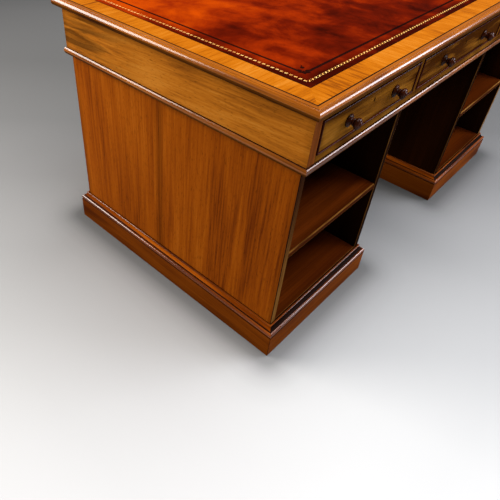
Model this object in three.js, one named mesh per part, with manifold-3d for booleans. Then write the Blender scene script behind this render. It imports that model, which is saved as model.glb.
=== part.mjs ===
// Pedestal writing desk: a leather-lined top and a frieze with three drawers, standing on two open pedestals.
// Millimetres, +Z up. X runs along the front, the drawers face -Y and the floor is Z = 0.
import * as THREE from "three";
import { mergeVertices } from "three/addons/utils/BufferGeometryUtils.js";
import Module from "manifold-3d";

// Overall sizes
const height = 770;
const pedestalWidth = 456;
const pedestalDepth = 812;
const kneeholeWidth = 573;

// Gaps between pieces
const glueGap = 0.1; // between boards that are glued or rest on each other
const drawerClearance = 1.2; // drawer front to its opening, at both sides and above
const runnerGap = 0.5; // drawer to the dustboard below it
const fitGap = 0.3; // round a lock in its pocket and a knob's peg in its hole

// Top
const topOverhang = 28.5; // widest part of the edge, beyond the pedestal faces
const topThickness = 22;
const edgeWidth = 18.5; // moulded edge, from its nose in to the veneer
const edgeFlat = 9.5; // its flat part on top
const edgeQuirk = 0.8; // small step down beside the flat
const edgeNoseDrop = 13; // top surface down to the widest part
const edgeNoseHeight = 3; // straight part of the nose
const edgeUndercut = 6; // how far the underside turns back in
const crossbandWidth = 53; // crossbanding with its dark string
const veneerThickness = 1.2;
const leatherSink = 0.3; // leather below the veneer

// Frieze
const friezeHeight = 138;
const friezeEndStand = 8; // frieze ends beyond the pedestal sides
const friezeFrontStand = 12; // frieze front and back beyond the pedestals' edges and backs
const friezeEndThickness = 26.5;
const friezeBackThickness = 22;
const railDepth = 28;
const topRailHeight = 18.5;
const bottomRailHeight = 38.5;
const partitionThickness = 18.5;
const dustboardThickness = 12;
const beadHeight = 20;
const beadStand = 6.5; // bead beyond the frieze faces

// Drawers
const sideDrawerWidth = 428.5; // opening of each side drawer; the middle one takes what is left
const drawerLength = 600;
const drawerFrontThickness = 22;
const drawerSideThickness = 11;
const drawerBackThickness = 11;
const drawerBackDrop = 8; // back lower than the sides
const drawerBottomThickness = 7;
const drawerBottomRise = 8; // underside of the bottom above the sides' lower edge
const grooveDepth = 5;
const cockBeadThickness = 4;
const cockBeadStand = 3; // nose beyond the drawer face

// Locks and knobs
const keyholeDrop = 29; // keyhole centre below the opening's upper edge
const keyholeRadius = 2.8;
const keyholeSlotWidth = 2.4;
const keyholeSlotHeight = 8;
const lockWidth = 52;
const lockHeight = 44;
const lockDepth = 8.5;
const lockShoulder = 0.5; // wood between the lock and the cock bead in front of it
const lockPlateWidth = 64;
const lockPlateThickness = 2;
const boltMortiseWidth = 20;
const boltMortiseDepth = 10;
const knobSpacingSide = 204;
const knobSpacingMiddle = 276;
const knobPegRadius = 4.7;
const knobPegLength = 12;
const knobFlangeRadius = 15.5;
const knobNeckRadius = 7;
const knobHeadRadius = 13.5;
const knobLength = 29.5;

// Pedestals
const sideThickness = 19;
const backThickness = 12;
const boardThickness = 18.5; // pedestal top, shelf and bottom
const shelfHeight = 359.5; // upper face of the shelf above the floor
const bottomHeight = 108.5; // upper face of the bottom board
const boardSetback = 1.5; // shelf, top and bottom behind the sides' front edges
const plinthThickness = 21;
const plinthFaceHeight = 77;
const plinthMouldHeight = 28.5; // moulding worked above the plain face
const plinthTorusHeight = 13;
const plinthFillet = 3; // height of the upper fillet
const plinthFilletWidth = 6.5; // its width beyond the pedestal face

// Sizes that follow
const carcaseWidth = 2 * pedestalWidth + kneeholeWidth;
const topUnderside = height - topThickness;
const pedestalHeight = topUnderside - friezeHeight;
const friezeWidth = carcaseWidth + 2 * friezeEndStand;
const friezeDepth = pedestalDepth + 2 * friezeFrontStand;
const openingBottom = pedestalHeight + bottomRailHeight;
const openingTop = topUnderside - topRailHeight;
const openingHeight = openingTop - openingBottom;
const friezeInside = friezeWidth - 2 * friezeEndThickness;
const middleDrawerWidth = friezeInside - 2 * (sideDrawerWidth + partitionThickness);
const sideDrawerX = (middleDrawerWidth + sideDrawerWidth) / 2 + partitionThickness;
const friezeFront = -friezeDepth / 2;
const innerWidth = pedestalWidth - 2 * sideThickness;
const cockBeadDepth = drawerFrontThickness - lockDepth - lockShoulder; // let into the edges of the front

// Materials
function polished(color, roughness) {
  return new THREE.MeshStandardMaterial({ color, roughness, metalness: 0 });
}
const mahogany = polished("#8e4f22", 0.3);
const goldenMahogany = polished("#b8782f", 0.3);
const darkMahogany = polished("#4a1c10", 0.3);
const plinthMahogany = polished("#713515", 0.3);
const crossbandMahogany = polished("#d08a2c", 0.25);
const drawerMahogany = polished("#8a6024", 0.35);
const secondaryOak = polished("#a98a5c", 0.7);
const leather = polished("#8c2a12", 0.35);
const brass = new THREE.MeshStandardMaterial({ color: "#b08d4c", roughness: 0.4, metalness: 1 });

const wasm = await Module();
wasm.setup();

function solid(geometry) {
  const bare = geometry.clone();
  bare.deleteAttribute("normal");
  bare.deleteAttribute("uv");
  const merged = mergeVertices(bare, 1e-3);
  const mesh = new wasm.Mesh({
    numProp: 3,
    vertProperties: merged.attributes.position.array,
    triVerts: new Uint32Array(merged.index.array),
  });
  return new wasm.Manifold(mesh);
}

function geometryOf(manifold) {
  const mesh = manifold.getMesh();
  const geometry = new THREE.BufferGeometry();
  geometry.setAttribute("position", new THREE.BufferAttribute(mesh.vertProperties, 3));
  geometry.setIndex(new THREE.BufferAttribute(mesh.triVerts, 1));
  geometry.computeVertexNormals();
  return geometry;
}

function cut(geometry, tools) {
  const start = solid(geometry);
  return geometryOf(tools.reduce((left, tool) => left.subtract(solid(tool)), start));
}

function join(first, second) {
  return geometryOf(solid(first).add(solid(second)));
}

// A board between two corners.
function board(low, high) {
  const [width, depth, tall] = high.map((value, axis) => value - low[axis]);
  const [x, y, z] = high.map((value, axis) => (value + low[axis]) / 2);
  return new THREE.BoxGeometry(width, depth, tall).translate(x, y, z);
}

function addPiece(parent, name, geometry, material) {
  const piece = new THREE.Mesh(geometry, material);
  piece.name = name;
  parent.add(piece);
  return piece;
}

// Points of an elliptical arc, angles in quarter turns from +X towards +Y.
function arc(centreX, centreY, radiusX, radiusY, from, to, steps) {
  return Array.from({ length: steps + 1 }, (_, step) => {
    const angle = ((from + ((to - from) * step) / steps) * Math.PI) / 2;
    return [centreX + radiusX * Math.cos(angle), centreY + radiusY * Math.sin(angle)];
  });
}

// A moulding right round a rectangle of the given size. Outline points are [outwards from the rectangle, up].
function mitredFrame(outline, width, depth) {
  const base = 1000; // lathe radius that stands for the rectangle
  const points = [...outline, outline[0]].map(([out, up]) => new THREE.Vector2(base + out, up));
  const turned = new THREE.LatheGeometry(points, 4, Math.PI / 4);
  const position = turned.attributes.position;
  for (let i = 0; i < position.count; i++) {
    const out = Math.hypot(position.getX(i), position.getZ(i)) - base;
    const x = Math.sign(position.getX(i)) * (width / 2 + out);
    const y = -Math.sign(position.getZ(i)) * (depth / 2 + out);
    position.setXYZ(i, x, y, position.getY(i));
  }
  return turned;
}

// One mitred length of moulding, centred on X, that faces -Y.
function mitredLength(outline, length) {
  const shape = new THREE.Shape(outline.map(([out, up]) => new THREE.Vector2(out, up)));
  const drawn = new THREE.ExtrudeGeometry(shape, { depth: length, bevelEnabled: false });
  const position = drawn.attributes.position;
  for (let i = 0; i < position.count; i++) {
    const out = position.getX(i);
    const end = position.getZ(i) < length / 2 ? 1 : -1;
    position.setXYZ(i, end * (length / 2 + out - glueGap), -out, position.getY(i));
  }
  return drawn;
}

// Top

// Profile from the nose: a flat, a quirk, a quarter round down to the nose and a small return beneath.
function edgeOutline() {
  const roundTop = height - edgeQuirk;
  const roundWidth = edgeWidth - edgeFlat;
  const noseTop = height - edgeNoseDrop;
  const noseBottom = noseTop - edgeNoseHeight;
  return [
    [-edgeWidth, topUnderside],
    ...arc(-edgeUndercut, noseBottom, edgeUndercut, noseBottom - topUnderside, -1, 0, 3),
    ...arc(-roundWidth, noseTop, roundWidth, roundTop - noseTop, 0, 1, 6),
    [-roundWidth, height],
    [-edgeWidth, height],
  ];
}

function makeTop() {
  const group = new THREE.Group();
  const width = carcaseWidth + 2 * topOverhang;
  const depth = pedestalDepth + 2 * topOverhang;
  addPiece(group, "top_edge_moulding", mitredFrame(edgeOutline(), width, depth), goldenMahogany);

  const boardX = width / 2 - edgeWidth - glueGap;
  const boardY = depth / 2 - edgeWidth - glueGap;
  const boardTop = height - veneerThickness - glueGap - leatherSink;
  const core = board([-boardX, -boardY, topUnderside], [boardX, boardY, boardTop]);
  addPiece(group, "top_board", core, mahogany);

  const bandOutline = [
    [-crossbandWidth, height - veneerThickness],
    [0, height - veneerThickness],
    [0, height],
    [-crossbandWidth, height],
  ];
  const band = mitredFrame(bandOutline, 2 * boardX, 2 * boardY);
  addPiece(group, "top_crossbanding", band, crossbandMahogany);

  const hideX = boardX - crossbandWidth - glueGap;
  const hideY = boardY - crossbandWidth - glueGap;
  const hideTop = height - leatherSink;
  const hide = board([-hideX, -hideY, hideTop - veneerThickness], [hideX, hideY, hideTop]);
  addPiece(group, "leather_lining", hide, leather);
  return group;
}

// Frieze

function makeFrieze() {
  const group = new THREE.Group();
  const outsideX = friezeWidth / 2;
  const insideX = outsideX - friezeEndThickness;
  const backY = friezeDepth / 2;
  const low = pedestalHeight;
  const high = topUnderside - glueGap;
  const railX = insideX - glueGap;
  const railBack = friezeFront + railDepth;
  const backFace = backY - friezeBackThickness;

  for (const [name, side] of [["left", -1], ["right", 1]]) {
    const end = board([insideX, friezeFront, low], [outsideX, backY, high]);
    if (side < 0) end.translate(-insideX - outsideX, 0, 0);
    addPiece(group, `frieze_end_${name}`, end, goldenMahogany);
  }
  const back = board([-railX, backFace, low], [railX, backY, high]);
  addPiece(group, "frieze_back", back, goldenMahogany);

  const lowerRail = board([-railX, friezeFront, low], [railX, railBack, openingBottom - glueGap]);
  addPiece(group, "frieze_bottom_rail", lowerRail, drawerMahogany);

  const upperRail = board([-railX, friezeFront, openingTop], [railX, railBack, high]);
  const mortiseY = friezeFront + drawerFrontThickness - lockDepth;
  const mortises = [-sideDrawerX, 0, sideDrawerX].map((x) =>
    board(
      [x - boltMortiseWidth / 2, mortiseY, openingTop - 1],
      [x + boltMortiseWidth / 2, mortiseY + lockDepth - lockPlateThickness, openingTop + boltMortiseDepth],
    ),
  );
  addPiece(group, "frieze_top_rail", cut(upperRail, mortises), drawerMahogany);

  const dustFront = railBack + glueGap;
  const dustBack = backFace - glueGap;
  const dustTop = openingBottom - glueGap;
  const dust = board([-railX, dustFront, dustTop - dustboardThickness], [railX, dustBack, dustTop]);
  addPiece(group, "dustboard", dust, secondaryOak);

  for (const [name, side] of [["left", -1], ["right", 1]]) {
    const x = (side * (middleDrawerWidth + partitionThickness)) / 2;
    const partition = board(
      [x - partitionThickness / 2, friezeFront, openingBottom],
      [x + partitionThickness / 2, dustBack, openingTop - glueGap],
    );
    addPiece(group, `drawer_partition_${name}`, partition, drawerMahogany);
  }

  const beadCentre = low + beadHeight / 2;
  const halfRound = arc(glueGap, beadCentre, beadStand - glueGap, beadHeight / 2, -1, 1, 8);
  addPiece(group, "frieze_bead", mitredFrame(halfRound, friezeWidth, friezeDepth), mahogany);
  return group;
}

// Drawers. Y = 0 is the drawer's face and Z = 0 the lower edge of its opening.

// Turned knob with its peg behind Y = 0: flange, neck and a rounded mushroom head.
function knobGeometry() {
  const flangeThickness = 3;
  const neckY = 10.5;
  const headY = 21.5;
  const headBack = 8;
  const outline = [
    [0, -knobPegLength],
    [knobPegRadius, -knobPegLength],
    [knobPegRadius, glueGap],
    ...arc(knobFlangeRadius - 1.5, 1.6, 1.5, 1.5, -1, 1, 3),
    [knobFlangeRadius - 3.5, flangeThickness + 1],
    [knobNeckRadius + 2, flangeThickness + 2.2],
    [knobNeckRadius, neckY],
    ...arc(0, headY, knobHeadRadius, headBack, -0.62, 0, 3),
    ...arc(0, headY, knobHeadRadius, knobLength - headY, 0.25, 0.999, 4).slice(0, -1),
    [0, knobLength],
  ];
  const points = outline.map(([radius, out]) => new THREE.Vector2(radius, out));
  return new THREE.LatheGeometry(points, 20).rotateX(Math.PI);
}

function cockBeadOutline() {
  const nose = cockBeadThickness / 2;
  return [
    [-cockBeadThickness, -cockBeadDepth],
    [0, -cockBeadDepth],
    ...arc(-nose, cockBeadStand - nose, nose, nose, 0, 2, 4),
  ];
}

function keyholeTools(keyholeZ) {
  const bore = new THREE.CylinderGeometry(keyholeRadius, keyholeRadius, 2 * drawerFrontThickness, 16);
  bore.translate(0, 0, keyholeZ + keyholeRadius);
  const slot = board(
    [-keyholeSlotWidth / 2, -drawerFrontThickness, keyholeZ - keyholeSlotHeight + keyholeRadius],
    [keyholeSlotWidth / 2, drawerFrontThickness, keyholeZ + keyholeRadius],
  );
  return [bore, slot];
}

function makeDrawer(name, openingWidth, knobSpacing) {
  const group = new THREE.Group();
  const halfX = openingWidth / 2 - drawerClearance;
  const low = runnerGap;
  const high = openingHeight - drawerClearance;
  const middleZ = (low + high) / 2;
  const keyholeZ = openingHeight - keyholeDrop;
  const inset = cockBeadThickness + glueGap;
  const shoulder = cockBeadDepth + glueGap;
  const insideX = halfX - drawerSideThickness;
  const knobXs = [-knobSpacing / 2, knobSpacing / 2];
  const bottomLow = low + drawerBottomRise;
  const bottomHigh = bottomLow + drawerBottomThickness;
  const grooveX = insideX + grooveDepth;
  const grooveY = drawerFrontThickness - grooveDepth;

  const panel = board(
    [-halfX + inset, 0, low + inset],
    [halfX - inset, drawerFrontThickness - 1, high - inset],
  );
  const backing = board([-halfX, shoulder, low], [halfX, drawerFrontThickness, high]);
  const bottomGroove = board(
    [-insideX, grooveY, bottomLow - glueGap],
    [insideX, drawerFrontThickness + 1, bottomHigh + glueGap],
  );
  const lockFront = drawerFrontThickness - lockDepth;
  const lockPocket = board(
    [-lockWidth / 2 - fitGap, lockFront - fitGap, high - lockHeight - fitGap],
    [lockWidth / 2 + fitGap, drawerFrontThickness + 1, high + 1],
  );
  const plateY = drawerFrontThickness - lockPlateThickness;
  const platePocket = board(
    [-lockPlateWidth / 2 - fitGap, plateY - fitGap, high - lockHeight - fitGap],
    [lockPlateWidth / 2 + fitGap, drawerFrontThickness + 1, high + 1],
  );
  const pegHoles = knobXs.map((x) => {
    const radius = knobPegRadius + fitGap;
    const hole = new THREE.CylinderGeometry(radius, radius, 2 * (knobPegLength + fitGap), 20);
    return hole.translate(x, 0, middleZ);
  });
  const tools = [bottomGroove, lockPocket, platePocket, ...keyholeTools(keyholeZ), ...pegHoles];
  addPiece(group, `${name}_drawer_front`, cut(join(panel, backing), tools), drawerMahogany);

  const bead = mitredFrame(cockBeadOutline(), 2 * halfX, high - low);
  bead.rotateX(Math.PI / 2).translate(0, 0, middleZ);
  addPiece(group, `${name}_drawer_cock_bead`, bead, darkMahogany);

  for (const [hand, side] of [["left", -1], ["right", 1]]) {
    const wall = board(
      [insideX, drawerFrontThickness + glueGap, low],
      [halfX, drawerLength, high - glueGap],
    );
    const groove = board(
      [insideX - 1, drawerFrontThickness, bottomLow - glueGap],
      [grooveX, drawerLength + 1, bottomHigh + glueGap],
    );
    const grooved = cut(wall, [groove]);
    if (side < 0) grooved.rotateZ(Math.PI).translate(0, drawerFrontThickness + glueGap + drawerLength, 0);
    addPiece(group, `${name}_drawer_side_${hand}`, grooved, secondaryOak);
  }

  const wideX = grooveX - glueGap;
  const bottom = board(
    [-wideX, drawerFrontThickness + glueGap, bottomLow],
    [wideX, drawerLength, bottomHigh],
  );
  const tongueX = insideX - glueGap;
  const tongue = board(
    [-tongueX, grooveY + glueGap, bottomLow],
    [tongueX, drawerFrontThickness + 1, bottomHigh],
  );
  addPiece(group, `${name}_drawer_bottom`, join(bottom, tongue), secondaryOak);

  const back = board(
    [-insideX + glueGap, drawerLength - drawerBackThickness, bottomHigh + glueGap],
    [insideX - glueGap, drawerLength, high - drawerBackDrop],
  );
  addPiece(group, `${name}_drawer_back`, back, secondaryOak);

  const lockCase = board(
    [-lockWidth / 2, lockFront, high - lockHeight],
    [lockWidth / 2, drawerFrontThickness - glueGap, high],
  );
  const plate = board(
    [-lockPlateWidth / 2, plateY, high - lockHeight],
    [lockPlateWidth / 2, drawerFrontThickness, high],
  );
  addPiece(group, `${name}_drawer_lock`, join(lockCase, plate), brass);

  for (const [hand, x] of [["left", knobXs[0]], ["right", knobXs[1]]]) {
    const knob = addPiece(group, `${name}_drawer_knob_${hand}`, knobGeometry(), darkMahogany);
    knob.position.set(x, 0, middleZ);
  }
  return group;
}

// Pedestals

// Plinth board: plain face, quirk, torus, cove and a square fillet against the pedestal.
function plinthOutline() {
  const face = plinthThickness;
  const torusRadius = plinthTorusHeight / 2;
  const torusTop = plinthFaceHeight + plinthTorusHeight;
  const top = plinthFaceHeight + plinthMouldHeight;
  const coveTop = top - plinthFillet;
  const coveFoot = face - torusRadius;
  const coveDepth = coveFoot - plinthFilletWidth;
  return [
    [glueGap, 0],
    [face, 0],
    [face, plinthFaceHeight - 1],
    [face - 1, plinthFaceHeight],
    ...arc(coveFoot, plinthFaceHeight + torusRadius, torusRadius, torusRadius, -0.8, 1, 6),
    ...arc(coveFoot, coveTop, coveDepth, coveTop - torusTop, -1, -2, 4).slice(1),
    [plinthFilletWidth, top],
    [glueGap, top],
  ];
}

function makePedestal(hand, outward) {
  const group = new THREE.Group();
  const halfX = pedestalWidth / 2;
  const halfY = pedestalDepth / 2;
  const top = pedestalHeight - glueGap;
  const boardX = innerWidth / 2 - glueGap;
  const backFace = halfY - backThickness;
  const name = `${hand}_pedestal`;

  for (const [place, side] of [["outer_side", outward], ["inner_side", -outward]]) {
    const x = side * (halfX - sideThickness / 2);
    const panel = board(
      [x - sideThickness / 2, -halfY, 0],
      [x + sideThickness / 2, halfY, top],
    );
    addPiece(group, `${name}_${place}`, panel, mahogany);
  }
  addPiece(group, `${name}_back`, board([-boardX, backFace, 0], [boardX, halfY, top]), mahogany);

  const levels = [["top", top], ["shelf", shelfHeight], ["bottom", bottomHeight]];
  for (const [place, level] of levels) {
    const flat = board(
      [-boardX, -halfY + boardSetback, level - boardThickness],
      [boardX, backFace - glueGap, level],
    );
    addPiece(group, `${name}_${place}`, flat, mahogany);
  }

  const sides = [
    ["front", pedestalWidth, 0, halfY],
    [outward > 0 ? "outer" : "inner", pedestalDepth, 1, halfX],
    ["back", pedestalWidth, 2, halfY],
    [outward > 0 ? "inner" : "outer", pedestalDepth, 3, halfX],
  ];
  for (const [place, length, quarterTurns, distance] of sides) {
    const moulded = mitredLength(plinthOutline(), length).translate(0, -distance, 0);
    const plinth = addPiece(group, `${name}_plinth_${place}`, moulded, plinthMahogany);
    plinth.rotation.z = (quarterTurns * Math.PI) / 2;
  }
  return group;
}

const desk = new THREE.Group();
desk.name = "writing_desk";
desk.add(makeTop(), makeFrieze());

const drawers = [
  ["left", -sideDrawerX, sideDrawerWidth, knobSpacingSide],
  ["middle", 0, middleDrawerWidth, knobSpacingMiddle],
  ["right", sideDrawerX, sideDrawerWidth, knobSpacingSide],
];
for (const [name, x, openingWidth, knobSpacing] of drawers) {
  const drawer = makeDrawer(name, openingWidth, knobSpacing);
  drawer.position.set(x, friezeFront, openingBottom);
  desk.add(drawer);
}

for (const [hand, outward] of [["left", -1], ["right", 1]]) {
  const pedestal = makePedestal(hand, outward);
  pedestal.position.x = (outward * (kneeholeWidth + pedestalWidth)) / 2;
  desk.add(pedestal);
}

// The knobs reach further forward than the top, so the desk moves back to centre its outline on the origin.
desk.position.y = Math.max(0, friezeFrontStand + knobLength - topOverhang) / 2;

export default desk;
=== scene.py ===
import math
import random

import bmesh
import bpy
from mathutils import Matrix, Vector


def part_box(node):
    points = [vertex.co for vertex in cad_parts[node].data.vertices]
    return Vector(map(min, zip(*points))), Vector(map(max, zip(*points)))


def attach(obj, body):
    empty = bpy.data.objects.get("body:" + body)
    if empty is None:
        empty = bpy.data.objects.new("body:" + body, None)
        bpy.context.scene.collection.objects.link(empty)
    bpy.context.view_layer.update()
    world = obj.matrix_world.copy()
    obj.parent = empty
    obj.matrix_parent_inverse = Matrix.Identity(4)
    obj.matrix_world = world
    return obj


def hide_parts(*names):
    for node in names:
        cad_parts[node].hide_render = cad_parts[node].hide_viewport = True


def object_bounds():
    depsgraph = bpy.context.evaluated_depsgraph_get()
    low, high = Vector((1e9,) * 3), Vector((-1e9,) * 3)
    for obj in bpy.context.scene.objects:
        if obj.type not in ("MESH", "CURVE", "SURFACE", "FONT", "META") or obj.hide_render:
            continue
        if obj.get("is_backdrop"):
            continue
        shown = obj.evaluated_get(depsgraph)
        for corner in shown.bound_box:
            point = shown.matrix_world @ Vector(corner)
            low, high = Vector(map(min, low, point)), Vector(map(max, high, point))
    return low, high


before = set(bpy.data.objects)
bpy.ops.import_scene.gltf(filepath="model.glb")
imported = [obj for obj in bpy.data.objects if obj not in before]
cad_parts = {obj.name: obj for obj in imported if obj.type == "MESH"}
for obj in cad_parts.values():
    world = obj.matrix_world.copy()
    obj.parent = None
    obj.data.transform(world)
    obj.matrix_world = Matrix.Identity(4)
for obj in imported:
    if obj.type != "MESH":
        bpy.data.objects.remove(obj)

# Pedestal writing desk in mahogany with a leather-lined top. Metres, +Z up, the drawers face -Y.
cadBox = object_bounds()
mm = 0.001
chance = random.Random(1870)
scene = bpy.context.scene
hands = ("left", "right")
drawerNames = ("left", "middle", "right")
sideNames = ("front", "right", "back", "left")  # round a rectangle by quarter turns


# nodes and materials

mixA, mixB, mixOut = 6, 7, 2  # colour sockets of the Mix node
smooth = {"interpolation_type": "SMOOTHSTEP"}


def linear(hexColour):
    channels = [int(hexColour[start:start + 2], 16) / 255 for start in (1, 3, 5)]
    return [c / 12.92 if c <= 0.04045 else ((c + 0.055) / 1.055) ** 2.4 for c in channels] + [1.0]


# Links inputs of a node to sockets, or to the first output of other nodes.
def link(tree, node, sources):
    for key, source in sources.items():
        socket = source if isinstance(source, bpy.types.NodeSocket) else source.outputs[0]
        tree.links.new(socket, node.inputs[key])


def addNode(tree, kind, settings=None, links=None):
    node = tree.nodes.new("ShaderNode" + kind)
    for key, value in (settings or {}).items():
        if key == "stops":
            stops = node.color_ramp.elements
            while len(stops) < len(value):
                stops.new(0.5)
            for stop, (position, hexColour) in zip(stops, value):
                stop.position = position
                stop.color = linear(hexColour)
        elif isinstance(key, int) or key in node.inputs:
            node.inputs[key].default_value = value
        else:
            setattr(node, key, value)
    link(tree, node, links or {})
    return node


def newMaterial(name, shaderSettings):
    material = bpy.data.materials.new(name)
    material.use_nodes = True
    tree = material.node_tree
    shader = tree.nodes["Principled BSDF"]
    for socket, value in shaderSettings.items():
        shader.inputs[socket].default_value = value
    return material, tree, shader, addNode(tree, "TexCoord").outputs["Object"]


def shineOf(look):
    weight, roughness = look["coat"]
    return {"Specular IOR Level": look["specular"], "Coat Weight": weight, "Coat Roughness": roughness}


# How far a point lies beyond the faces of a box on each axis, below zero inside it.
def beyondBox(tree, coords, centre, half):
    fromCentre = addNode(tree, "VectorMath", {"operation": "SUBTRACT", 1: centre}, {0: coords})
    apart = addNode(tree, "VectorMath", {"operation": "ABSOLUTE"}, {0: fromCentre})
    return addNode(tree, "VectorMath", {"operation": "SUBTRACT", 1: half}, {0: apart})


# How near a point lies to the edges of a board, as 1 at the edge and 0 further in than reach.
def nearEdge(tree, coords, box, reach):
    low, high = box
    half = (high - low) / 2
    thin = min(range(3), key=lambda axis: half[axis])
    half[thin] = 10.0  # the faces themselves don't count as edges
    beyond = beyondBox(tree, coords, (low + high) / 2, half)
    axes = addNode(tree, "SeparateXYZ", {}, {0: beyond})
    first = addNode(tree, "Math", {"operation": "MAXIMUM"}, {0: axes.outputs[0], 1: axes.outputs[1]})
    worst = addNode(tree, "Math", {"operation": "MAXIMUM"}, {0: first, 1: axes.outputs[2]})
    ramp = {"From Min": -reach, "From Max": 0.0, **smooth}
    return addNode(tree, "MapRange", ramp, {"Value": worst})


grainTurns = {"x": (0, 0, 0), "y": (0, 0, 90), "z": (0, -90, 0)}  # turns the pattern's length along the grain

# What most looks share. Each look says only what differs from this.
commonLook = {"poreDepth": 0.3, "grime": 0.0, "roughness": (0.3, 0.42), "specular": 0.002, "coat": (0.0, 0.2)}

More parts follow.
